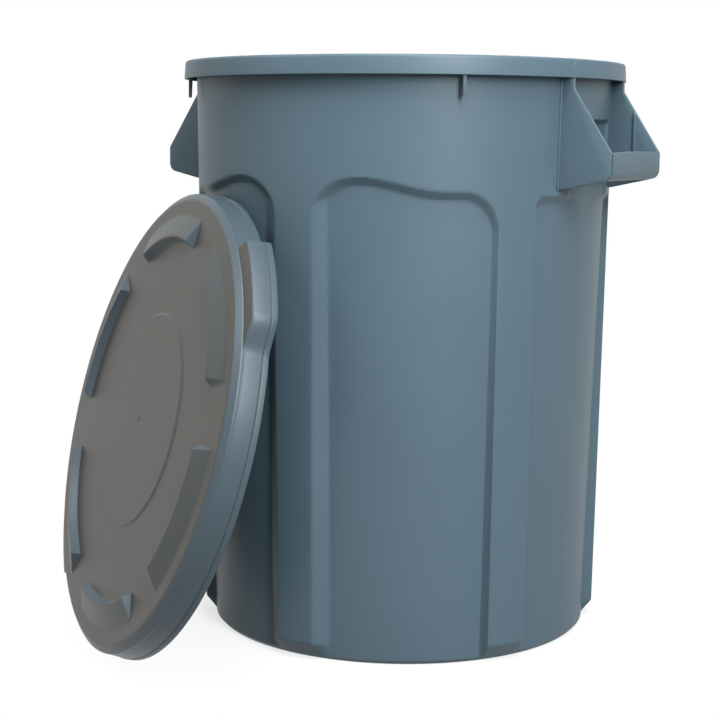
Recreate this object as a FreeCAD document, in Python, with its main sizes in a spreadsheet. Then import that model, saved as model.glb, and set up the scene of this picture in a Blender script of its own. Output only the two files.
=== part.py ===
import FreeCAD, Part
import math
import os
import Sketcher

Vector = FreeCAD.Vector
doc = FreeCAD.newDocument("trash_can")

# Driving sizes, in millimetres and degrees. The can's height and wall radius and the lid's
# overlap of the rim lead; drops are counted down from the rim, insets in from an outer edge.
sizes = {
    "can_height": 700.0,
    "can_radius": 258.9,
    "can_draft": 9.5,
    "wall": 3.2,
    "land_foot_height": 20.0,
    "foot_setback": 12.9,
    "foot_edge": 5.0,
    "foot_ring_width": 17.0,
    "base_boss_radius": 70.0,
    "base_hollow": 6.0,
    "rim_overhang": 15.1,
    "rim_draft": 1.5,
    "rim_depth": 21.8,
    "rim_round": 4.0,
    "panel_top_drop": 134.5,
    "panel_depth_top": 6.5,
    "panel_depth_foot": 13.0,
    "panel_dip": 15.8,
    "panel_half_angle": 24.4,
    "panel_run_out": 30.0,
    "bevel_gentle_angle": 4.0,
    "bevel_steep_angle": 1.1,
    "bevel_top_height": 11.0,
    "pocket_half_width": 56.0,
    "pocket_top_drop": 68.0,
    "pocket_height": 112.0,
    "pocket_depth": 9.0,
    "handle_stand": 51.6,
    "handle_half_width": 76.0,
    "handle_top_drop": 106.2,
    "strap_height": 31.8,
    "handle_root_sink": 11.0,
    "handle_kink_drop": 34.0,
    "handle_kink_stand": 4.1,
    "handle_wall": 4.0,
    "gusset_root": 45.0,
    "grip_depth": 24.0,
    "hook_angle": 46.5,
    "hook_stand": 6.1,
    "hook_depth": 5.6,
    "hook_width": 4.6,
    "hook_length": 45.0,
    "lid_overlap": 3.5,
    "lid_wall": 2.6,
    "lid_height": 37.0,
    "lid_bead": 8.0,
    "lid_bead_step": 0.8,
    "lid_shoulder_inset": 3.5,
    "lid_shoulder_drop": 6.0,
    "lid_face_inset": 12.0,
    "lid_disc_radius": 127.0,
    "lid_disc_step": 1.5,
    "lid_gate_radius": 5.0,
    "lid_gate_depth": 0.6,
    "rib_inset": 30.0,
    "rib_width": 34.0,
    "rib_height": 10.0,
    "rib_outer_slope": 27.0,
    "rib_inner_slope": 5.0,
    "rib_sweep": 43.0,
    "rib_angle": 40.5,
    "tab_stand": 19.0,
    "tab_height": 29.0,
    "tab_sweep": 30.0,
    "tab_angle": 39.0,
    "lid_lean": 14.7,
    "lid_turn": -124.9,
    "lid_side_shift": 32.0,
    "lid_settle": 0.1,
}
panel_count = 6
rib_count = 6
hook_count = 4
side_count = 2
full_turn = 360.0
half_turn = 180.0
quarter_turn = 90.0

sheet = doc.addObject("Spreadsheet::Sheet", "Sizes")
for row, (name, value) in enumerate(sizes.items(), start=1):
    sheet.set("A" + str(row), str(value))
    sheet.setAlias("A" + str(row), name)
doc.recompute()

# Radii and heights that several pieces share, as formulas over the sheet
top = "Sizes.can_height"
land_top = "Sizes.can_radius"
land_foot = "(Sizes.can_radius - Sizes.can_draft)"
foot_radius = "(Sizes.can_radius - Sizes.can_draft - Sizes.foot_setback)"
rim_radius = "(Sizes.can_radius + Sizes.rim_overhang)"
handle_reach = "(Sizes.can_radius + Sizes.handle_stand)"
handle_top = "(Sizes.can_height - Sizes.handle_top_drop)"
handle_low = "(Sizes.can_height - Sizes.handle_top_drop - Sizes.strap_height)"
handle_root = "(Sizes.can_height - Sizes.handle_top_drop - Sizes.strap_height - Sizes.handle_root_sink)"
kink_reach = "(Sizes.can_radius + Sizes.handle_kink_stand)"
lid_radius = "(Sizes.can_radius + Sizes.rim_overhang + Sizes.lid_overlap)"
lid_shoulder = "(Sizes.can_radius + Sizes.rim_overhang + Sizes.lid_overlap - Sizes.lid_shoulder_inset)"
lid_face = "(Sizes.can_radius + Sizes.rim_overhang + Sizes.lid_overlap - Sizes.lid_face_inset)"
rib_outer = "(Sizes.can_radius + Sizes.rim_overhang + Sizes.lid_overlap - Sizes.rib_inset)"
tab_radius = "(Sizes.can_radius + Sizes.rim_overhang + Sizes.lid_overlap + Sizes.tab_stand)"


def size(name):
    """Read one driving size back from the sheet."""
    return float(sheet.get(name))


def made(kind, label, lift="0", **formulas):
    """Add an object, tie its sizes to the sheet and raise it by a formula."""
    target = doc.addObject(kind, label)
    for name, formula in formulas.items():
        target.setExpression(name, formula)
    target.setExpression("Placement.Base.z", lift)
    return target


def joined(label, shapes):
    target = doc.addObject("Part::MultiFuse", label)
    target.Shapes = shapes
    return target


def cut(label, base, tools):
    """Take each tool off the base in turn."""
    for number, tool in enumerate(tools):
        step = doc.addObject("Part::Cut", label + "_cut" + str(number))
        step.Base = base
        step.Tool = tool
        base = step
    return base


def turned(angle, offset=Vector()):
    """Placement that shifts by the offset and then turns about the upright axis."""
    spin = FreeCAD.Placement(Vector(), FreeCAD.Rotation(Vector(0, 0, 1), angle))
    return spin.multiply(FreeCAD.Placement(offset, FreeCAD.Rotation()))


def seated(piece, angle, offset):
    """Give a piece its place by angle and offset, in place of a bound height."""
    piece.setExpression("Placement.Base.z", None)
    piece.Placement = turned(angle, offset)


def side_plate(label, corners, thickness):
    """Plate drawn in the XZ plane from corner formulas and padded along Y."""
    sketch = doc.addObject("Sketcher::SketchObject", label + "_outline")
    sketch.Placement = FreeCAD.Placement(Vector(), FreeCAD.Rotation(Vector(1, 0, 0), quarter_turn))
    count = len(corners)
    first_size = size("can_radius")
    steps = [math.radians(full_turn * number / count) for number in range(count)]
    spots = [Vector(first_size + math.cos(step), first_size + math.sin(step), 0) for step in steps]
    for number in range(count):
        sketch.addGeometry(Part.LineSegment(spots[number], spots[(number + 1) % count]))
    for number in range(count):
        sketch.addConstraint(Sketcher.Constraint("Coincident", number, 2, (number + 1) % count, 1))
    for number, formulas in enumerate(corners):
        for way, spot, formula in zip(("DistanceX", "DistanceY"), spots[number], formulas):
            held = sketch.addConstraint(Sketcher.Constraint(way, -1, 1, number, 1, spot))
            sketch.setExpression("Constraints[" + str(held) + "]", formula)
    plate = doc.addObject("Part::Extrusion", label)
    plate.Base = sketch
    plate.DirMode = "Normal"
    plate.Solid = True
    plate.setExpression("LengthFwd", thickness)
    return plate


# Wall of the can, solid: foot, flare and the upright land cone
foot = made("Part::Cone", "foot", Radius1=foot_radius + " - Sizes.foot_edge",
            Radius2=foot_radius, Height="Sizes.foot_edge")
flare = made("Part::Cone", "flare", lift="Sizes.foot_edge", Radius1=foot_radius,
             Radius2=land_foot, Height="Sizes.land_foot_height - Sizes.foot_edge")
land = made("Part::Cone", "land", lift="Sizes.land_foot_height", Radius1=land_foot,
            Radius2=land_top, Height=top + " - Sizes.land_foot_height")
can_solid = joined("can_solid", [foot, flare, land])

# Space inside the can, before the panels press into it
inner_foot = made("Part::Cone", "inner_foot", lift="Sizes.base_hollow + Sizes.wall",
                  Radius1=foot_radius + " - Sizes.wall - Sizes.foot_edge",
                  Radius2=land_foot + " - Sizes.wall",
                  Height="Sizes.land_foot_height - Sizes.base_hollow")
inner_land = made("Part::Cone", "inner_land", lift="Sizes.land_foot_height + Sizes.wall",
                  Radius1=land_foot + " - Sizes.wall", Radius2=land_top + " - Sizes.wall",
                  Height=top + " - Sizes.land_foot_height")
inside = joined("inside", [inner_foot, inner_land])

# Recessed panels: points of the top edge as shares of the half angle and of the dip
low_end_shares = [(0.4, 1.0), (0.6, 1.02), (0.75, 1.3), (0.88, 2.0), (0.97, 3.2), (1.0, 4.8)]
high_end_shares = [(-1.0, 4.4), (-0.94, 1.5), (-0.78, 0.5), (-0.5, 0.0), (-0.2, 0.4), (0.14, 0.92)]
wave_shares = high_end_shares + low_end_shares
flat_end_shares = [(0.3, 1.3), (0.6, 1.3), (0.86, 1.31), (0.94, 1.45), (0.985, 1.85), (1.0, 2.4)]
flat_shares = [(-share, drop) for share, drop in reversed(flat_end_shares)] + flat_end_shares
overshoot_share = 1.8


def land_radius(height):
    """Radius of the wall between the panels."""
    share = (size("can_height") - height) / (size("can_height") - size("land_foot_height"))
    return size("can_radius") - size("can_draft") * share


def panel_top():
    return size("can_height") - size("panel_top_drop")


def floor_radius(height):
    """Radius of the panels' floor, deepest at the foot."""
    share = height / panel_top()
    depth = size("panel_depth_foot") + (size("panel_depth_top") - size("panel_depth_foot")) * share
    return land_radius(height) - depth


def around(radius, angle, height):
    turn = math.radians(angle)
    return Vector(radius * math.cos(turn), radius * math.sin(turn), height)


def through(points):
    curve = Part.BSplineCurve()
    curve.interpolate(points)
    return curve.toShape()


def panel_shape(shares, grow, gentle):
    """Tool for one panel: its floor, sloped sides and sloped top edge, all grown by the wall."""
    half = size("panel_half_angle") + math.degrees(grow / size("can_radius"))
    steep = size("bevel_steep_angle")
    low = -size("panel_run_out")
    corners = {"floor_top": [], "floor_low": [], "out_top": [], "out_low": []}
    for share, drop_share in shares:
        angle = share * half
        inward = (1 + share) / 2
        floor_angle = angle + gentle * (1 - inward) - steep * inward
        edge = panel_top() - drop_share * size("panel_dip") + grow
        floor_edge = edge - size("bevel_top_height")
        for end, floor_level, mouth_level in (("top", floor_edge, edge), ("low", low, low)):
            bottom = around(floor_radius(floor_level) - grow, floor_angle, floor_level)
            mouth = around(land_radius(mouth_level) - grow, angle, mouth_level)
            corners["floor_" + end].append(bottom)
            corners["out_" + end].append(bottom + (mouth - bottom) * overshoot_share)
    edges = {name: through(points) for name, points in corners.items()}
    faces = [Part.makeRuledSurface(edges["floor_top"], edges["floor_low"]),
             Part.makeRuledSurface(edges["out_top"], edges["out_low"]),
             Part.makeRuledSurface(edges["floor_top"], edges["out_top"]),
             Part.makeRuledSurface(edges["floor_low"], edges["out_low"])]
    for end in (0, -1):
        floor_side = Part.makeLine(corners["floor_top"][end], corners["floor_low"][end])
        out_side = Part.makeLine(corners["out_top"][end], corners["out_low"][end])
        faces.append(Part.makeRuledSurface(floor_side, out_side))
    shell = Part.makeShell(faces)
    shell.sewShape()
    return Part.makeSolid(shell)


def panel_tools(label, grow):
    """Six tools round the can: four with a wave, two plain ones under the handles."""
    tools = []
    wave = panel_shape(wave_shares, grow, size("bevel_gentle_angle"))
    plain = panel_shape(flat_shares, grow, size("bevel_steep_angle"))
    mirrored = wave.mirror(Vector(), Vector(0, 1, 0))
    pitch = full_turn / panel_count
    for shape, angle in ((wave, -pitch), (mirrored, pitch), (wave, half_turn - pitch),
                         (mirrored, half_turn + pitch), (plain, 0.0), (plain, half_turn)):
        tool = doc.addObject("Part::Feature", label)
        tool.Shape = shape
        tool.Placement = turned(angle)
        tools.append(tool)
    return tools


def pocket_tools(label, grow, grow_formula):
    """Finger space pressed into the wall behind each handle, grown by the wall on its inside."""
    tools = []
    low = size("can_height") - size("pocket_top_drop") - size("pocket_height")
    start = land_radius(low + size("pocket_height")) - size("pocket_depth") - grow
    for side in range(side_count):
        tool = made("Part::Box", label, Length="2 * Sizes.pocket_depth",
                    Width="2 * (Sizes.pocket_half_width + " + grow_formula + ")",
                    Height="Sizes.pocket_height + " + grow_formula)
        seated(tool, side * half_turn, Vector(start, -size("pocket_half_width") - grow, low))
        tools.append(tool)
    return tools


wall_outside = cut("wall_outside", can_solid, panel_tools("panel", 0.0) + pocket_tools("pocket", 0.0, "0"))
backs = panel_tools("panel_back", size("wall")) + pocket_tools("pocket_back", size("wall"), "Sizes.wall")
room = cut("room", inside, backs)

# Rim turned down round the mouth
rim_block = made("Part::Cone", "rim_block", lift=top + " - Sizes.rim_depth", Radius1=rim_radius,
                 Radius2=rim_radius + " - Sizes.rim_draft", Height="Sizes.rim_depth")
doc.recompute()
rim_rounded = doc.addObject("Part::Fillet", "rim_rounded")
rim_rounded.Base = rim_block
top_edges = [number for number, edge in enumerate(rim_block.Shape.Edges, start=1)
             if edge.BoundBox.ZMin > size("can_height") - size("rim_round")]
rim_rounded.Edges = [(number, size("rim_round"), size("rim_round")) for number in top_edges]
rim_channel = made("Part::Cone", "rim_channel", lift=top + " - Sizes.rim_depth",
                   Radius1=rim_radius + " - Sizes.wall",
                   Radius2=rim_radius + " - Sizes.rim_draft - Sizes.wall",
                   Height="Sizes.rim_depth - Sizes.wall")
rim = cut("rim", rim_rounded, [rim_channel])

# Handles: two gussets and a strap with its turned-in grip, on both sides
under_rim = "Sizes.can_height - Sizes.wall / 2"
gusset_start = land_foot + " - Sizes.gusset_root"
gusset_corners = [(gusset_start, handle_root),
                  (land_foot, handle_root),
                  (handle_reach + " - Sizes.handle_wall", handle_low),
                  (handle_reach, handle_low + " + Sizes.handle_wall"),
                  (handle_reach, handle_top),
                  (kink_reach, top + " - Sizes.handle_kink_drop"),
                  (kink_reach, under_rim),
                  (gusset_start, under_rim)]
reach = size("can_radius") + size("handle_stand")
half_width = size("handle_half_width")
strap_low = size("can_height") - size("handle_top_drop") - size("strap_height")
handle_pieces = []
for side in range(side_count):
    for shift in (half_width, size("handle_wall") - half_width):
        gusset = side_plate("gusset", gusset_corners, "Sizes.handle_wall")
        gusset.Placement = turned(side * half_turn, Vector(0, shift, 0))
        handle_pieces.append(gusset)
    strap = made("Part::Box", "strap", Length="Sizes.handle_wall", Width="2 * Sizes.handle_half_width",
                 Height="Sizes.strap_height - Sizes.handle_wall")
    grip = made("Part::Box", "grip", Length="Sizes.grip_depth", Width="2 * Sizes.handle_half_width",
                Height="Sizes.handle_wall")
    seated(strap, side * half_turn,
           Vector(reach - size("handle_wall"), -half_width, strap_low + size("handle_wall")))
    seated(grip, side * half_turn,
           Vector(reach - size("grip_depth"), -half_width, strap_low + size("handle_wall") / 2))
    handle_pieces += [strap, grip]

# Bag hooks under the rim, a quarter turn apart
hooks = []
for number in range(hook_count):
    hook = made("Part::Box", "hook", Length="Sizes.hook_depth", Width="Sizes.hook_width",
                Height="Sizes.hook_length - Sizes.wall / 2")
    seated(hook, number * quarter_turn - size("hook_angle"),
           Vector(size("can_radius") + size("hook_stand"), -size("hook_width") / 2,
                  size("can_height") - size("hook_length")))
    hooks.append(hook)

# Underside of the base: a foot ring and a middle boss stand on the floor
base_round = made("Part::Cylinder", "base_round", Height="Sizes.base_hollow",
                  Radius=foot_radius + " - Sizes.foot_edge - Sizes.foot_ring_width")
base_boss = made("Part::Cylinder", "base_boss", Radius="Sizes.base_boss_radius", Height="Sizes.base_hollow")
base_space = cut("base_space", base_round, [base_boss])

can_whole = joined("can_whole", [wall_outside, rim] + handle_pieces + hooks)
container = cut("container_shell", can_whole, [room, base_space])
container.Label = "container"

# Lid, drawn on its open edge with the face up: bead, skirt, shoulder and middle disc
shoulder_height = "Sizes.lid_height - Sizes.lid_shoulder_drop"
bead = made("Part::Cylinder", "bead", Radius=lid_radius, Height="Sizes.lid_bead")
skirt = made("Part::Cone", "skirt", lift="Sizes.lid_bead", Radius1=lid_radius + " - Sizes.lid_bead_step",
             Radius2=lid_shoulder, Height=shoulder_height + " - Sizes.lid_bead")
shoulder = made("Part::Cone", "shoulder", lift=shoulder_height, Radius1=lid_shoulder, Radius2=lid_face,
                Height="Sizes.lid_shoulder_drop")
disc = made("Part::Cylinder", "disc", lift="Sizes.lid_height - Sizes.lid_wall / 2",
            Radius="Sizes.lid_disc_radius", Height="Sizes.lid_wall / 2 + Sizes.lid_disc_step")
under_skirt = made("Part::Cone", "under_skirt",
                   Radius1=lid_radius + " - Sizes.lid_bead_step - Sizes.lid_wall",
                   Radius2=lid_shoulder + " - Sizes.lid_wall", Height=shoulder_height)
under_face = made("Part::Cone", "under_face", lift=shoulder_height,
                  Radius1=lid_shoulder + " - Sizes.lid_wall", Radius2=lid_face + " - Sizes.lid_wall",
                  Height="Sizes.lid_shoulder_drop - Sizes.lid_wall")
gate = made("Part::Cylinder", "gate", lift="Sizes.lid_height + Sizes.lid_disc_step - Sizes.lid_gate_depth",
            Radius="Sizes.lid_gate_radius", Height="2 * Sizes.lid_gate_depth")

# Raised ribs round the face, with sloped inner and outer sides
ribs = []
for number in range(rib_count):
    hump = made("Part::Cone", "hump", Radius1=rib_outer, Radius2=rib_outer + " - Sizes.rib_outer_slope",
                Height="Sizes.rib_height + Sizes.lid_wall / 2", Angle="Sizes.rib_sweep")
    hollow = made("Part::Cone", "hollow", Radius1=rib_outer + " - Sizes.rib_width",
                  Radius2=rib_outer + " - Sizes.rib_width + Sizes.rib_inner_slope",
                  Height="Sizes.rib_height + Sizes.lid_wall / 2")
    rib = cut("rib", hump, [hollow])
    angle = size("rib_angle") - size("rib_sweep") / 2 + number * full_turn / rib_count
    rib.Placement = turned(angle, Vector(0, 0, size("lid_height") - size("lid_wall") / 2))
    ribs.append(rib)

# Grip tabs on opposite sides of the skirt, hollow from below
lid_edge = size("can_radius") + size("rim_overhang") + size("lid_overlap")
tab_wall_angle = math.degrees(size("lid_wall") / (lid_edge + size("tab_stand")))
tabs = []
tab_spaces = []
for side in range(side_count):
    tab = made("Part::Cylinder", "tab", Radius=tab_radius, Height="Sizes.tab_height", Angle="Sizes.tab_sweep")
    tab_space = made("Part::Cylinder", "tab_space", Radius=tab_radius + " - Sizes.lid_wall",
                     Height="Sizes.tab_height - Sizes.lid_wall",
                     Angle="Sizes.tab_sweep - 360 * Sizes.lid_wall / (pi * " + tab_radius + ")")
    angle = size("tab_angle") - size("tab_sweep") / 2 + side * half_turn
    tab.Placement = turned(angle)
    tab_space.Placement = turned(angle + tab_wall_angle)
    tabs.append(tab)
    tab_spaces.append(tab_space)

lid_solid = joined("lid_solid", [bead, skirt, shoulder, disc] + tabs + ribs)
lid_space = joined("lid_space", [under_skirt, under_face] + tab_spaces)
lid = cut("lid_shell", lid_solid, [lid_space, gate])
lid.Label = "lid"

# The lid stands on its edge and leans into a panel of the can, or on the wall above the panel
lean = math.radians(size("lid_lean"))
turn = math.radians(size("lid_turn"))
outward = Vector(math.cos(turn), math.sin(turn), 0)
along = Vector(-math.sin(turn), math.cos(turn), 0)
face_way = outward * math.cos(lean) + Vector(0, 0, math.sin(lean))
rise = lid_edge * math.cos(lean)
panel_floor_top = panel_top() - size("panel_dip") - size("bevel_top_height")
touch = floor_radius(2 * rise) if 2 * rise < panel_floor_top else land_radius(2 * rise)
distance = touch - size("lid_settle") + lid_edge * math.sin(lean)
middle = outward * distance + along * size("lid_side_shift") + Vector(0, 0, rise)
lid.Placement = FreeCAD.Placement(middle, FreeCAD.Rotation(along, face_way.cross(along), face_way, "ZXY"))
doc.recompute()

for thing in doc.Objects:
    if "Invalid" in thing.State or "Error" in thing.State:
        raise RuntimeError(thing.Name + " did not build")

os.makedirs("parts", exist_ok=True)
for piece in (container, lid):
    if piece.Shape.isNull() or not piece.Shape.isValid() or len(piece.Shape.Solids) != 1:
        raise RuntimeError(piece.Label + " is not one sound solid")
    piece.Shape.exportStep("parts/" + piece.Label + ".step")
gap = container.Shape.distToShape(lid.Shape)[0]
print("volumes", container.Shape.Volume, lid.Shape.Volume, "gap", gap)
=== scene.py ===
import math

import bpy
import numpy as np
from mathutils import Matrix, Vector


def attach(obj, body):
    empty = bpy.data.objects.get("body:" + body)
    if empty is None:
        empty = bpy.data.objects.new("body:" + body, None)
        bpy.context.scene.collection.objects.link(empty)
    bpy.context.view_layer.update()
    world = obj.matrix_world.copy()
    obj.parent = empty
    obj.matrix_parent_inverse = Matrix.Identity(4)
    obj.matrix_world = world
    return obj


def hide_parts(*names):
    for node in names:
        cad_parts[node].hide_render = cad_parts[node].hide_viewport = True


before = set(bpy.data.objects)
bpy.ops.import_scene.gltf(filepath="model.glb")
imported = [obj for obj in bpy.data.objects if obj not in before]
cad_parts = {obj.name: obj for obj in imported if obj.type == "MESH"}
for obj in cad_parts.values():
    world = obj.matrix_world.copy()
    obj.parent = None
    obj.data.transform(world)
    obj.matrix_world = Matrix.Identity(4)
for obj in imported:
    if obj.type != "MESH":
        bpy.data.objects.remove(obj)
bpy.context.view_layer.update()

# Can: one thin moulding of blue-grey polyethylene, with a turned-down rim, a foot ring and
# six recessed side panels with wavy tops. A grid of its section, rows along the section and
# columns round the can, is wrapped into the wall, and the panels are pressed into it.
CAN_HEIGHT, CAN_RADIUS, CAN_DRAFT, WALL = 0.700, 0.2589, 0.0095, 0.0032
LAND_FOOT_HEIGHT, FOOT_SETBACK, FOOT_EDGE = 0.020, 0.0129, 0.005
FOOT_RADIUS = CAN_RADIUS - CAN_DRAFT - FOOT_SETBACK
PANEL_TOP, PANEL_DEPTH_TOP, PANEL_DEPTH_FOOT = 0.5655, 0.0065, 0.013
PANEL_DIP, PANEL_HALF, PANEL_PITCH = 0.0158, 24.4, 60.0
GENTLE, STEEP, TOP_BEVEL = 4.0, 1.1, 0.009
CORNER_HEIGHT, HIGH_CORNER_SHARE, LOW_CORNER_SHARE = 0.045, 0.5, 0.6
TIGHT_CORNER_HEIGHT, TIGHT_CORNER_SHARE, TIGHT_DIP_SHARE = 0.015, 0.88, 1.3
POCKET_DEPTH, POCKET_HALF, POCKET_TOP, POCKET_LOW = 0.009, 0.056, 0.632, 0.520
POCKET_SLOPE, POCKET_SIDE_SLOPE = 0.005, 0.003
RIM_RADIUS, RIM_DRAFT, RIM_DEPTH = 0.274, 0.0015, 0.0218
BASE_HOLLOW, RING_WIDTH, BOSS_RADIUS, CENTRE = 0.006, 0.022, 0.070, 0.001
WALL_TOP, WALL_LOW, RIM_LOW = 0.688, 0.024, CAN_HEIGHT - RIM_DEPTH
BASE_CORNER_INSET = 0.009


def rounded_run(corners, rounds, steps=6):
    """Points along a section: straight runs between corners, each corner eased by its radius."""
    corners = [np.array(corner, float) for corner in corners]
    points = [corners[0]]
    for before, here, after, radius in zip(corners, corners[1:], corners[2:], rounds):
        back = (before - here) / np.linalg.norm(before - here)
        ahead = (after - here) / np.linalg.norm(after - here)
        half = math.acos(np.clip(back @ ahead, -1.0, 1.0)) / 2
        start, end = (here + way * radius / math.tan(half) for way in (back, ahead))
        for share in np.linspace(0, 1, steps + 1):
            eased = (1 - share) ** 2 * start + 2 * share * (1 - share) * here + share ** 2 * end
            points.append(eased)
    points.append(corners[-1])
    return points


def land_at(height):
    """Radius of the plain wall between the panels."""
    return CAN_RADIUS - CAN_DRAFT * (CAN_HEIGHT - height) / (CAN_HEIGHT - LAND_FOOT_HEIGHT)


def floor_at(height):
    """Radius of the panels' floor, which lies deepest at the foot."""
    gain = (PANEL_DEPTH_FOOT - PANEL_DEPTH_TOP) * height / PANEL_TOP
    return land_at(height) - PANEL_DEPTH_FOOT + gain


def slope(value, edge=0.06):
    """A straight rise from 0 to 1 with lightly rounded ends."""
    return 0.5 * (1 + np.sqrt(value ** 2 + edge ** 2) - np.sqrt((value - 1) ** 2 + edge ** 2))


def smooth(value):
    """A rise from 0 to 1 that starts and ends level."""
    value = np.clip(value, 0.0, 1.0)
    return value * value * (3 - 2 * value)


def panel_press(angle, height, grow):
    """How far, 0 to 1, the wall is pressed in to the panel floor at an angle and height."""
    number = np.round(angle / PANEL_PITCH)
    under_handle = number % 3 == 0
    facing = np.where((number % 3 == 1) & ~under_handle, -1.0, 1.0)
    offset = (angle - number * PANEL_PITCH) * facing
    half = PANEL_HALF + np.degrees(grow / CAN_RADIUS)
    share = np.clip(offset / half, -1.0, 1.0)
    high_corner = np.where(under_handle, TIGHT_CORNER_SHARE, HIGH_CORNER_SHARE)
    low_corner = np.where(under_handle, TIGHT_CORNER_SHARE, LOW_CORNER_SHARE)
    corner = np.where(under_handle, TIGHT_CORNER_HEIGHT, CORNER_HEIGHT)
    left = np.clip((-high_corner - share) / (1 - high_corner), 0.0, 0.995)
    right = np.clip((share - low_corner) / (1 - low_corner), 0.0, 0.995)
    dip = np.where(under_handle, TIGHT_DIP_SHARE, smooth((share + 0.5) / 0.9))
    drop = corner * (2 - np.sqrt(1 - left ** 2) - np.sqrt(1 - right ** 2))
    steepness = left / np.sqrt(1 - left ** 2) / (1 - high_corner)
    steepness = steepness + right / np.sqrt(1 - right ** 2) / (1 - low_corner)
    steepness = steepness * corner / (np.radians(half) * CAN_RADIUS)
    top = PANEL_TOP + grow - PANEL_DIP * dip - drop
    from_top = (top - height) / np.sqrt(1 + steepness ** 2) / TOP_BEVEL
    from_left = (offset + half) / np.where(under_handle, STEEP, GENTLE)
    from_right = (half - offset) / STEEP
    return slope(np.minimum(np.minimum(from_left, from_right), from_top))


def wrapped_grid(name, rows, angles, shape):
    """A grid with one row per section point and one column per angle, closed round and shaped."""
    bpy.ops.object.select_all(action="DESELECT")
    bpy.ops.mesh.primitive_grid_add(x_subdivisions=len(rows) - 1, y_subdivisions=len(angles),
                                    size=2.0)
    piece = bpy.context.object
    piece.name = name
    spots = np.empty(len(piece.data.vertices) * 3)
    piece.data.vertices.foreach_get("co", spots)
    spots = (spots.reshape(-1, 3) + 1) / 2
    row = np.rint(spots[:, 0] * (len(rows) - 1)).astype(int)
    column = np.rint(spots[:, 1] * len(angles)).astype(int) % len(angles)
    zones, radii, heights = (np.array(part)[row] for part in zip(*rows))
    piece.data.vertices.foreach_set("co", shape(zones, radii, heights, angles[column]).ravel())
    piece.data.update()
    bpy.ops.object.mode_set(mode="EDIT")
    bpy.ops.mesh.select_all(action="SELECT")
    bpy.ops.mesh.remove_doubles(threshold=0.00005)
    bpy.ops.mesh.fill_holes(sides=0)
    bpy.ops.mesh.normals_make_consistent(inside=False)
    bpy.ops.object.mode_set(mode="OBJECT")
    bpy.ops.object.shade_smooth_by_angle(angle=math.radians(18))
    return piece


def can_wall(zones, radii, heights, angles):
    """Press the panels and the finger pockets behind the handles into the round wall."""
    grow = np.where(zones == "inside", WALL, 0.0)
    on_rim = zones == "rim"
    pressed = panel_press(angles, heights, grow)
    floor = np.minimum(radii, floor_at(np.maximum(heights, 0.0)) - grow)
    shaped = radii + (floor - radii) * pressed
    off_handle = np.radians((angles + 90.0) % 180.0 - 90.0)
    flat = (land_at(POCKET_TOP) - POCKET_DEPTH - grow) / np.cos(off_handle)
    sideways = np.abs(shaped * np.sin(off_handle))
    pocket = slope((POCKET_TOP + grow - heights) / POCKET_SLOPE)
    pocket = pocket * slope((heights - POCKET_LOW) / POCKET_SLOPE)
    pocket = pocket * slope((POCKET_HALF + grow - sideways) / POCKET_SIDE_SLOPE)
    shaped = np.where(flat < shaped, shaped + (flat - shaped) * pocket, shaped)
    shaped = np.where(on_rim, radii, shaped)
    turn = np.radians(angles)
    return np.stack([shaped * np.cos(turn), shaped * np.sin(turn), heights], axis=1)


def stretches(*runs):
    """Grid lines in stretches, each from a start to an end with its own count."""
    return np.concatenate([np.linspace(*run) for run in runs])


out_rows = stretches((WALL_TOP, 0.642, 5), (0.636, 0.625, 7), (0.615, 0.580, 4), (0.572, 0.495, 38),
                     (0.480, 0.060, 16), (0.045, WALL_LOW, 4))
in_rows = stretches((WALL_LOW, 0.480, 8), (0.500, 0.576, 20), (0.600, WALL_TOP, 6))
foot_run = rounded_run(
    [(land_at(WALL_LOW), WALL_LOW), (land_at(LAND_FOOT_HEIGHT), LAND_FOOT_HEIGHT),
     (FOOT_RADIUS, FOOT_EDGE), (FOOT_RADIUS - FOOT_EDGE, 0.0), (FOOT_RADIUS - RING_WIDTH, 0.0),
     (FOOT_RADIUS - RING_WIDTH, BASE_HOLLOW), (BOSS_RADIUS, BASE_HOLLOW), (BOSS_RADIUS, 0.0), (CENTRE, 0.0)],
    [0.006, 0.0012, 0.0012, 0.001, 0.002, 0.002, 0.001], 4)
rim_run = rounded_run(
    [(land_at(WALL_TOP) - WALL, WALL_TOP), (CAN_RADIUS - WALL, CAN_HEIGHT),
     (RIM_RADIUS - RIM_DRAFT, CAN_HEIGHT), (RIM_RADIUS, RIM_LOW), (RIM_RADIUS - WALL, RIM_LOW),
     (RIM_RADIUS - RIM_DRAFT - WALL, CAN_HEIGHT - WALL), (land_at(CAN_HEIGHT - WALL), CAN_HEIGHT - WALL),
     (land_at(WALL_TOP), WALL_TOP)],
    [0.0014, 0.004, 0.0007, 0.0007, 0.0015, 0.0015])
base_run = rounded_run(
    [(CENTRE, BASE_HOLLOW + WALL), (FOOT_RADIUS - BASE_CORNER_INSET, BASE_HOLLOW + WALL),
     (land_at(WALL_LOW) - WALL, WALL_LOW)],
    [0.008])
can_rows = ([("inside", r, z) for r, z in base_run[:-1]]
            + [("inside", land_at(z) - WALL, z) for z in in_rows]
            + [("rim", r, z) for r, z in rim_run[1:-1]]
            + [("outside", land_at(z), z) for z in out_rows]
            + [("outside", r, z) for r, z in foot_run[1:]])
panel_columns = stretches((-29.0, -25.6, 3), (-25.1, -19.7, 15), (-19.1, -11.0, 13), (-10.0, 10.0, 19),
                          (11.0, 19.1, 13), (19.7, 25.1, 15), (25.6, 29.0, 3))
can_columns = np.concatenate([panel_columns + PANEL_PITCH * number for number in range(6)])
can = wrapped_grid("container_shell", can_rows, can_columns, can_wall)


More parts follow.
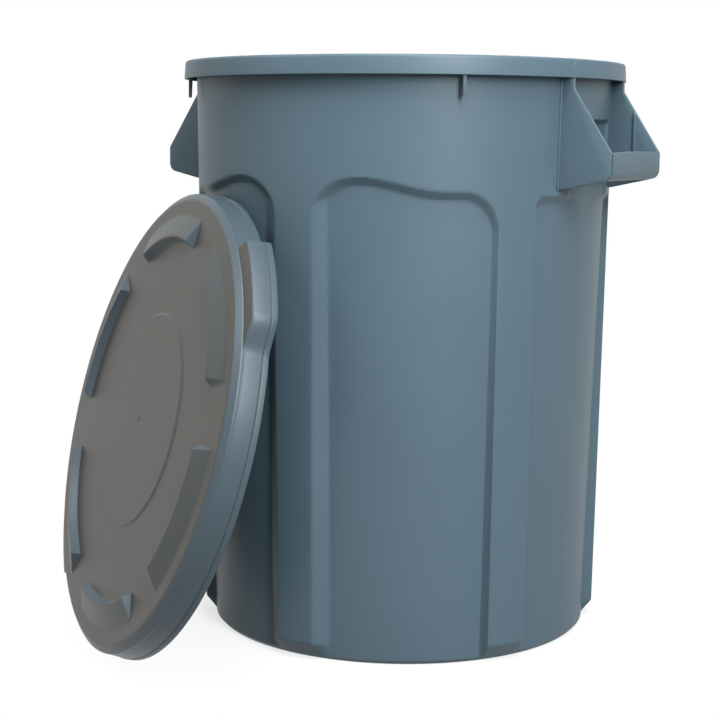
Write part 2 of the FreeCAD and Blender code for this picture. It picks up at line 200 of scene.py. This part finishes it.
# Plastic of the can: satin polyethylene with a faintly cloudy colour, uneven gloss and a fine
# moulded grain. The lid's plastic has the same skin, so the skin is a node group.
BLUE_GREY, CAN_ROUGHNESS = (0.068, 0.109, 0.137), 0.45
skin = bpy.data.node_groups.new("moulded_skin", "ShaderNodeTree")
for label, kind in (("Colour", "NodeSocketColor"), ("Roughness", "NodeSocketFloat")):
    skin.interface.new_socket(label, in_out="INPUT", socket_type=kind)
for label, kind in (("Colour", "NodeSocketColor"), ("Roughness", "NodeSocketFloat"),
                    ("Normal", "NodeSocketVector")):
    skin.interface.new_socket(label, in_out="OUTPUT", socket_type=kind)
nodes, links = skin.nodes, skin.links
given = nodes.new("NodeGroupInput")
put_out = nodes.new("NodeGroupOutput")
place = nodes.new("ShaderNodeTexCoord")
cloud = nodes.new("ShaderNodeTexNoise")
cloud.inputs["Scale"].default_value = 7.0
cloud.inputs["Detail"].default_value = 4.0
links.new(place.outputs["Object"], cloud.inputs["Vector"])
shade = nodes.new("ShaderNodeMapRange")
shade.inputs["To Min"].default_value = 0.92
shade.inputs["To Max"].default_value = 1.08
links.new(cloud.outputs["Fac"], shade.inputs["Value"])
tinted = nodes.new("ShaderNodeVectorMath")
tinted.operation = "SCALE"
links.new(given.outputs["Colour"], tinted.inputs[0])
links.new(shade.outputs["Result"], tinted.inputs["Scale"])
links.new(tinted.outputs["Vector"], put_out.inputs["Colour"])
uneven = nodes.new("ShaderNodeMath")
uneven.operation = "MULTIPLY"
links.new(given.outputs["Roughness"], uneven.inputs[0])
links.new(shade.outputs["Result"], uneven.inputs[1])
links.new(uneven.outputs["Value"], put_out.inputs["Roughness"])
grain = nodes.new("ShaderNodeTexNoise")
grain.inputs["Scale"].default_value = 1100.0
links.new(place.outputs["Object"], grain.inputs["Vector"])
bump = nodes.new("ShaderNodeBump")
bump.inputs["Strength"].default_value = 0.08
bump.inputs["Distance"].default_value = 0.0003
links.new(grain.outputs["Fac"], bump.inputs["Height"])
links.new(bump.outputs["Normal"], put_out.inputs["Normal"])


def moulded_plastic(name, colour, roughness):
    """A plastic with the moulded skin, in one colour and gloss."""
    material = bpy.data.materials.new(name)
    material.use_nodes = True
    nodes, links = material.node_tree.nodes, material.node_tree.links
    surface = nodes.new("ShaderNodeGroup")
    surface.name = "skin"
    surface.node_tree = skin
    surface.inputs["Colour"].default_value = (*colour, 1)
    surface.inputs["Roughness"].default_value = roughness
    shader = nodes["Principled BSDF"]
    shader.inputs["IOR"].default_value = 1.5
    shader.inputs["Specular IOR Level"].default_value = 0.35
    links.new(surface.outputs["Colour"], shader.inputs["Base Color"])
    links.new(surface.outputs["Roughness"], shader.inputs["Roughness"])
    links.new(surface.outputs["Normal"], shader.inputs["Normal"])
    return material


can_plastic = moulded_plastic("can_plastic", BLUE_GREY, CAN_ROUGHNESS)
can.data.materials.append(can_plastic)
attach(can, "can")
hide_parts("container")


# Handles: on each side two gussets and a strap whose lower edge turns in as the grip, moulded
# in one with the wall. Each gusset has an upright stiffening rib on its inner face.
HANDLE_REACH, HANDLE_HALF, HANDLE_WALL = 0.3105, 0.076, 0.004
HANDLE_TOP, HANDLE_LOW, HANDLE_ROOT, ROOT_REACH = 0.5938, 0.562, 0.551, 0.2495
KINK_REACH, KINK_HEIGHT, LOW_ROOT, HIGH_ROOT = 0.263, 0.666, 0.2444, 0.2462
GRIP_DEPTH, GRIP_ROUND, LOW_ROUND, ROUND_FAR, ROUND_NEAR = 0.024, 0.005, 0.010, 0.005, 0.0015
STRAP_INSET, STRAP_STEPS, STRAP_BOW = 0.0004, 10, 0.0016
STIFFENER_REACH, STIFFENER_DEPTH, STIFFENER_STAND = 0.278, 0.003, 0.0035
STIFFENER_FRONT_CUT, STIFFENER_BACK_CUT = 0.006, 0.001
STRIP_LOW_DEPTH, STRIP_HIGH_DEPTH, STRIP_STAND, SUNK = 0.003, 0.0032, 0.0022, 0.001
GUSSET_EDGE, STRAP_EDGE, STRIP_EDGE, STIFFENER_EDGE = 0.001, 0.0008, 0.0008, 0.0006
UNDER_RIM = CAN_HEIGHT - WALL


def plate(name, outline, low, high, rounding, steps=1, bow=0.0):
    """Plate from an outline in radius and height, drawn out sideways from low to high, with its
    edges rounded. With several steps its top edge can bow upwards in the middle."""
    bpy.ops.object.select_all(action="DESELECT")
    bpy.ops.mesh.primitive_circle_add(vertices=len(outline), fill_type="NGON")
    piece = bpy.context.object
    piece.name = name
    for vertex, (reach, height) in zip(piece.data.vertices, outline):
        vertex.co = (reach, low, height)
    bpy.ops.object.mode_set(mode="EDIT")
    bpy.ops.mesh.select_all(action="SELECT")
    for _ in range(steps):
        sideways = (0, (high - low) / steps, 0)
        bpy.ops.mesh.extrude_region_move(TRANSFORM_OT_translate={"value": sideways})
    bpy.ops.mesh.select_all(action="SELECT")
    bpy.ops.mesh.normals_make_consistent(inside=False)
    bpy.ops.object.mode_set(mode="OBJECT")
    crest = max(height for reach, height in outline)
    for vertex in piece.data.vertices:
        if vertex.co.z > crest - 0.0005:
            vertex.co.z += bow * (1 - (2 * vertex.co.y / (high - low)) ** 2)
    edge = piece.modifiers.new("edge", "BEVEL")
    edge.width = rounding
    edge.segments = 3
    edge.limit_method = "ANGLE"
    edge.angle_limit = math.radians(30)
    bpy.ops.object.modifier_apply(modifier="edge")
    bpy.ops.object.shade_smooth_by_angle(angle=math.radians(35))
    return piece


def on_can(piece, turn):
    """Turn a piece to its place round the can and give it the can's plastic."""
    piece.data.transform(Matrix.Rotation(math.radians(turn), 4, "Z"))
    piece.data.materials.append(can_plastic)
    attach(piece, "can")


low_corner = [(HANDLE_REACH - LOW_ROUND, HANDLE_LOW), (HANDLE_REACH - ROUND_FAR, HANDLE_LOW + ROUND_NEAR),
              (HANDLE_REACH - ROUND_NEAR, HANDLE_LOW + ROUND_FAR), (HANDLE_REACH, HANDLE_LOW + LOW_ROUND)]
gusset = [(LOW_ROOT, HANDLE_ROOT), (ROOT_REACH, HANDLE_ROOT), *low_corner, (HANDLE_REACH, HANDLE_TOP),
          (KINK_REACH, KINK_HEIGHT), (KINK_REACH, UNDER_RIM), (HIGH_ROOT, UNDER_RIM)]
grip_top, grip_end = HANDLE_LOW + HANDLE_WALL, HANDLE_REACH - GRIP_DEPTH
strap_back = HANDLE_REACH - HANDLE_WALL
strap = [(grip_end, HANDLE_LOW), *low_corner, (HANDLE_REACH, HANDLE_TOP), (strap_back, HANDLE_TOP),
         (strap_back, grip_top + GRIP_ROUND), (strap_back - GRIP_ROUND, grip_top), (grip_end, grip_top)]
fall = (KINK_HEIGHT - HANDLE_TOP) / (HANDLE_REACH - KINK_REACH)
stiffener_top = KINK_HEIGHT - (STIFFENER_REACH - KINK_REACH) * fall
stiffener_front = STIFFENER_REACH + STIFFENER_DEPTH
stiffener = [(STIFFENER_REACH, grip_top), (stiffener_front, grip_top),
             (stiffener_front, stiffener_top - STIFFENER_FRONT_CUT),
             (STIFFENER_REACH, stiffener_top - STIFFENER_BACK_CUT)]
strip = [(LOW_ROOT, HANDLE_ROOT), (LOW_ROOT + STRIP_LOW_DEPTH, HANDLE_ROOT),
         (HIGH_ROOT + STRIP_HIGH_DEPTH, UNDER_RIM), (HIGH_ROOT, UNDER_RIM)]
gusset_inside = HANDLE_HALF - HANDLE_WALL
for turn, side in ((0, "right"), (180, "left")):
    for name, outline, low, high, edge in (
            ("gusset_foot", strip, HANDLE_HALF - SUNK, HANDLE_HALF + STRIP_STAND, STRIP_EDGE),
            ("gusset", gusset, gusset_inside, HANDLE_HALF, GUSSET_EDGE),
            ("stiffener", stiffener, gusset_inside - STIFFENER_STAND, HANDLE_HALF - SUNK, STIFFENER_EDGE)):
        on_can(plate(name + "_a_" + side, outline, low, high, edge), turn)
        on_can(plate(name + "_b_" + side, outline, -high, -low, edge), turn)
    on_can(plate("strap_" + side, strap, STRAP_INSET - HANDLE_HALF, HANDLE_HALF - STRAP_INSET, STRAP_EDGE,
                 STRAP_STEPS, STRAP_BOW), turn)

# Bag hooks: four small prongs, moulded in one with the can, that hang from inside the rim a quarter
# turn apart, so that a bag's edge can be pulled over them. They thin towards their lower end.
HOOK_RADIUS, HOOK_DEPTH, HOOK_WIDTH, HOOK_THINNING, HOOK_EDGE = 0.265, 0.0056, 0.0046, 0.002, 0.0008
HOOK_LOW, HOOK_ANGLE, HOOK_PITCH = 0.655, 46.5, 90
hook = [(HOOK_RADIUS + HOOK_THINNING, HOOK_LOW), (HOOK_RADIUS + HOOK_DEPTH, HOOK_LOW),
        (HOOK_RADIUS + HOOK_DEPTH, UNDER_RIM), (HOOK_RADIUS, UNDER_RIM)]
for number in range(4):
    prong = plate("bag_hook_" + str(number), hook, -HOOK_WIDTH / 2, HOOK_WIDTH / 2, HOOK_EDGE)
    on_can(prong, HOOK_PITCH * number - HOOK_ANGLE)

# Lid: a loose cap, one thin moulding of polyethylene, that stands on its edge and leans on the can.
# It has a beaded edge, a rounded shoulder, six raised wedge-shaped ribs, a faint middle disc with
# the mark of the mould's gate, and two hollow grip tabs.
LID_RADIUS, LID_HEIGHT, LID_WALL = 0.2775, 0.037, 0.0026
BEAD, BEAD_STEP = 0.008, 0.0008
SHOULDER, SHOULDER_DROP, LID_FACE = LID_RADIUS - 0.0035, 0.006, LID_RADIUS - 0.012
FACE_EDGE, LID_CENTRE = 0.256, 0.0005
DISC_RADIUS, DISC_STEP, DISC_EDGE = 0.127, 0.0015, 0.002
GATE_RADIUS, GATE_PIP, GATE_SLOPE, GATE_DEPTH = 0.005, 0.0025, 0.0015, 0.0006
RIB_OUTER, RIB_WIDTH, RIB_HEIGHT = LID_RADIUS - 0.030, 0.034, 0.010
RIB_OUTER_SLOPE, RIB_INNER_SLOPE, RIB_END_SLOPE = 0.027, 0.005, 1.4
RIB_ANGLE, RIB_HALF, RIB_PITCH = 40.5, 21.5, 60.0
TAB_STAND, TAB_HEIGHT, TAB_ANGLE = 0.019, 0.029, 39.0
TAB_HALF, TAB_HIGH_END, TAB_LOW_END = 15.0, 2.0, 9.0
LEAN, TURN, SIDE_SHIFT, SETTLE = math.radians(14.7), math.radians(-124.9), 0.032, 0.0001

outward = Vector((math.cos(TURN), math.sin(TURN), 0))
along = Vector((-math.sin(TURN), math.cos(TURN), 0))
face_way = outward * math.cos(LEAN) + Vector((0, 0, math.sin(LEAN)))
lid_rise = LID_RADIUS * math.cos(LEAN)
lid_reach = floor_at(2 * lid_rise) - SETTLE + LID_RADIUS * math.sin(LEAN)
lid_middle = outward * lid_reach + along * SIDE_SHIFT + Vector((0, 0, lid_rise))


def lid_form(pulls, radii, heights, angles):
    """Raise the ribs and the disc, pull out the tabs and stand the lid where it leans."""
    from_rib = np.abs((angles - RIB_ANGLE + RIB_PITCH / 2) % RIB_PITCH - RIB_PITCH / 2)
    outer_side = (RIB_OUTER - radii) / RIB_OUTER_SLOPE
    sides = np.minimum(outer_side, (radii - RIB_OUTER + RIB_WIDTH) / RIB_INNER_SLOPE)
    rib = slope(np.minimum(sides, (RIB_HALF - from_rib) / RIB_END_SLOPE), 0.05)
    disc = smooth((DISC_RADIUS + DISC_EDGE - radii) / (2 * DISC_EDGE))
    gate = smooth((GATE_RADIUS - radii) / GATE_SLOPE) - smooth((GATE_PIP - radii) / GATE_SLOPE)
    raised = RIB_HEIGHT * rib + DISC_STEP * disc - GATE_DEPTH * gate
    heights = np.where(heights == LID_HEIGHT, heights + raised, heights)
    on_tab = (angles - TAB_ANGLE + 90.0) % 180.0 - 90.0
    high_end = smooth((TAB_HALF - on_tab) / TAB_HIGH_END)
    low_end = smooth((on_tab + TAB_HALF) / TAB_LOW_END)
    radii = radii + TAB_STAND * pulls * (high_end * low_end)
    turn = np.radians(angles)
    flat = np.stack([radii * np.cos(turn), radii * np.sin(turn), heights], axis=1)
    return flat @ np.array([along, face_way.cross(along), face_way]) + np.array(lid_middle)


face_radii = np.concatenate([
    [LID_CENTRE, 0.001, 0.0018, 0.0026, 0.0035, 0.0042, GATE_RADIUS, 0.006, 0.03, 0.08, 0.120],
    stretches((0.1235, 0.1305, 8)), [0.134, 0.17, 0.205],
    stretches((0.2115, 0.2225, 12), (0.225, 0.2505, 18)), [0.254, FACE_EDGE]])
shoulder_run = rounded_run(
    [(FACE_EDGE, LID_HEIGHT), (LID_FACE, LID_HEIGHT), (SHOULDER, LID_HEIGHT - SHOULDER_DROP),
     (SHOULDER + 0.0003, TAB_HEIGHT + 0.0008)],
    [0.0085, 0.0018], 8)
tab_root, bead_inside = SHOULDER + 0.0004, LID_RADIUS - BEAD_STEP
tab_edge = [(pull, tab_root, TAB_HEIGHT + lift) for pull, lift in (
    (0.12, 0.0003), (0.5, 0.0), (0.8, -0.0003), (0.93, -0.0011), (0.985, -0.0024))]
skirt_run = rounded_run(
    [(tab_root + 0.0003, TAB_HEIGHT - 0.0042), (bead_inside, BEAD), (bead_inside - 0.0006, BEAD - 0.0008),
     (LID_RADIUS, BEAD - 0.0016), (LID_RADIUS, 0.0), (bead_inside - LID_WALL, 0.0),
     (SHOULDER - LID_WALL + 0.0004, TAB_HEIGHT - LID_WALL)],
    [0.0003, 0.0002, 0.0003, 0.0008, 0.0008], 2)
inner_run = rounded_run(
    [(SHOULDER - LID_WALL + 0.0003, TAB_HEIGHT - LID_WALL + 0.0008),
     (SHOULDER - LID_WALL, LID_HEIGHT - SHOULDER_DROP), (LID_FACE - LID_WALL, LID_HEIGHT - LID_WALL),
     (LID_CENTRE, LID_HEIGHT - LID_WALL)],
    [0.001, 0.003], 4)
lid_rows = ([(0.0, r, LID_HEIGHT) for r in face_radii] + [(0.0, r, z) for r, z in shoulder_run[1:]]
            + tab_edge + [(1.0, r, z) for r, z in skirt_run] + [(0.0, r, z) for r, z in inner_run])
rib_columns = stretches((-30, -23, 5), (-22.4, -19.2, 12), (-18.4, -6.5, 24), (-5, 10, 9), (11.0, 14.0, 14),
                        (15, 18.4, 4), (19.2, 22.4, 12), (23, 29, 4))
lid_columns = np.concatenate([RIB_ANGLE + RIB_PITCH * number + rib_columns for number in range(6)])
lid = wrapped_grid("lid_shell", lid_rows, lid_columns, lid_form)

# Plastic of the lid: the same moulded polyethylene as the can. Its colour turns with the surface: the face,
# and whatever turns the same way, is painted a warmer grey as painted warm light falling on it from the
# left, while the skirt keeps the cooler grey.
PAINTED_WARM_GREY, SKIRT_GREY, LID_ROUGHNESS = (0.052, 0.050, 0.043), (0.050, 0.072, 0.090), 0.40
SKIRT_LOOK, FACE_LOOK = 0.88, 0.98
lid_plastic = moulded_plastic("lid_plastic", SKIRT_GREY, LID_ROUGHNESS)
nodes, links = lid_plastic.node_tree.nodes, lid_plastic.node_tree.links
place = nodes.new("ShaderNodeTexCoord")
looks_out = nodes.new("ShaderNodeVectorMath")
looks_out.operation = "DOT_PRODUCT"
looks_out.inputs[1].default_value = face_way
links.new(place.outputs["Normal"], looks_out.inputs[0])
# Painted warm light: its share grows as the surface turns from the skirt's look towards the face's look.
painted_warm_light = nodes.new("ShaderNodeMapRange")
painted_warm_light.inputs["From Min"].default_value = SKIRT_LOOK
painted_warm_light.inputs["From Max"].default_value = FACE_LOOK
links.new(looks_out.outputs["Value"], painted_warm_light.inputs["Value"])
tint = nodes.new("ShaderNodeMix")
tint.data_type = "RGBA"
tint.inputs["A"].default_value = (*SKIRT_GREY, 1)
tint.inputs["B"].default_value = (*PAINTED_WARM_GREY, 1)
links.new(painted_warm_light.outputs["Result"], tint.inputs["Factor"])
links.new(tint.outputs["Result"], nodes["skin"].inputs["Colour"])
lid.data.materials.append(lid_plastic)
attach(lid, "lid")
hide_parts("lid")

# Floor: a wide sheet of white paper under the can. It keeps a faint shadow near the can. Further
# out it shows as plain white, to the camera and in mirrored surfaces.
bpy.ops.object.select_all(action="DESELECT")
bpy.ops.mesh.primitive_plane_add(size=60.0, location=(0, 0, -0.0004))
ground = bpy.context.object
ground.name = "ground"


def looking_rays(nodes, links, path):
    """Mask of the rays that look at a surface: from the camera, mirrored, or through glass."""
    mask = path.outputs["Is Camera Ray"]
    for kind in ("Is Glossy Ray", "Is Transmission Ray"):
        either = nodes.new("ShaderNodeMath")
        either.operation = "MAXIMUM"
        links.new(mask, either.inputs[0])
        links.new(path.outputs[kind], either.inputs[1])
        mask = either.outputs["Value"]
    return mask


paper = bpy.data.materials.new("paper")
paper.use_nodes = True
nodes, links = paper.node_tree.nodes, paper.node_tree.links
nodes["Principled BSDF"].inputs["Roughness"].default_value = 0.9
place = nodes.new("ShaderNodeTexCoord")
away = nodes.new("ShaderNodeVectorMath")
away.operation = "LENGTH"
links.new(place.outputs["Object"], away.inputs[0])
clear = nodes.new("ShaderNodeMapRange")
clear.interpolation_type = "SMOOTHSTEP"
for socket, value in (("From Min", 0.22), ("From Max", 0.46), ("To Min", 0.72), ("To Max", 1.0)):
    clear.inputs[socket].default_value = value
links.new(away.outputs["Value"], clear.inputs["Value"])
path = nodes.new("ShaderNodeLightPath")
toned = nodes.new("ShaderNodeMix")
toned.data_type = "RGBA"
toned.inputs["A"].default_value = (0.2, 0.2, 0.2, 1)
toned.inputs["B"].default_value = (0.9, 0.9, 0.9, 1)
links.new(path.outputs["Is Camera Ray"], toned.inputs["Factor"])
links.new(toned.outputs["Result"], nodes["Principled BSDF"].inputs["Base Color"])
looked_at = looking_rays(nodes, links, path)
seen = nodes.new("ShaderNodeMath")
seen.operation = "MULTIPLY"
links.new(looked_at, seen.inputs[0])
links.new(clear.outputs["Result"], seen.inputs[1])
bare = nodes.new("ShaderNodeEmission")
choose = nodes.new("ShaderNodeMixShader")
links.new(seen.outputs["Value"], choose.inputs["Fac"])
links.new(nodes["Principled BSDF"].outputs["BSDF"], choose.inputs[1])
links.new(bare.outputs["Emission"], choose.inputs[2])
links.new(choose.outputs["Shader"], nodes["Material Output"].inputs["Surface"])
ground.data.materials.append(paper)

# Studio: a dim even room that shows as white, with large soft lamps in front to the right, overhead,
# at the left and behind. Azimuths are counted from the camera, to the right.
CAMERA_AZIMUTH = 29.35
scene = bpy.context.scene
scene.view_settings.view_transform = "Standard"
world = bpy.data.worlds.new("studio")
scene.world = world
world.use_nodes = True
nodes, links = world.node_tree.nodes, world.node_tree.links
nodes["Background"].inputs["Color"].default_value = (1, 1, 1, 1)
nodes["Background"].inputs["Strength"].default_value = 0.03
white = nodes.new("ShaderNodeBackground")
white.inputs["Color"].default_value = (1, 1, 1, 1)
path = nodes.new("ShaderNodeLightPath")
choose = nodes.new("ShaderNodeMixShader")
links.new(looking_rays(nodes, links, path), choose.inputs["Fac"])
links.new(nodes["Background"].outputs["Background"], choose.inputs[1])
links.new(white.outputs["Background"], choose.inputs[2])
links.new(choose.outputs["Shader"], nodes["World Output"].inputs["Surface"])


def soft_lamp(name, azimuth, distance, height, width, tall, power, colour):
    """Large rectangular lamp, aimed at the middle of the can."""
    lamp = bpy.data.lights.new(name, "AREA")
    lamp.shape = "RECTANGLE"
    lamp.size, lamp.size_y, lamp.energy, lamp.color = width, tall, power, colour
    holder = bpy.data.objects.new(name, lamp)
    scene.collection.objects.link(holder)
    way = math.radians(CAMERA_AZIMUTH + azimuth)
    holder.location = (distance * math.sin(way), -distance * math.cos(way), height)
    aim = Vector((0, 0, CAN_HEIGHT / 2)) - holder.location
    holder.rotation_euler = aim.to_track_quat("-Z", "Y").to_euler()


soft_lamp("front_lamp", 24, 2.5, 1.75, 0.8, 1.7, 92, (0.95, 0.99, 1.0))
soft_lamp("top_lamp", 6, 1.2, 2.8, 1.6, 1.4, 80, (0.97, 1.0, 1.0))
soft_lamp("left_lamp", -66, 2.4, 2.6, 1.2, 1.2, 34, (1.0, 0.97, 0.92))
soft_lamp("back_lamp", 176, 3.0, 1.6, 2.0, 2.0, 60, (1.0, 1.0, 1.0))

# Camera: stands where the photograph was taken from, a little below the can's rim. Its place, tilt
# and lens were fitted to the rim, the foot and the sides of the can.
CAMERA_DISTANCE, CAMERA_HEIGHT = 2.0813, 0.6138
PITCH, YAW, ROLL = 7.856, 1.473, 0.496
FOCAL_PIXELS, FRAME_PIXELS = 1640.0, 719.0
lens = bpy.data.cameras.new("photo_camera")
lens.sensor_width = 36.0
lens.lens = lens.sensor_width * FOCAL_PIXELS / FRAME_PIXELS
viewer = bpy.data.objects.new("photo_camera", lens)
scene.collection.objects.link(viewer)
away = math.radians(CAMERA_AZIMUTH)
stand = Matrix.Translation((CAMERA_DISTANCE * math.sin(away), -CAMERA_DISTANCE * math.cos(away),
                            CAMERA_HEIGHT))
spin = Matrix.Rotation(math.radians(CAMERA_AZIMUTH + YAW), 4, "Z")
tilt = Matrix.Rotation(math.radians(90.0 - PITCH), 4, "X")
viewer.matrix_world = stand @ spin @ tilt @ Matrix.Rotation(math.radians(ROLL), 4, "Z")
scene.camera = viewer
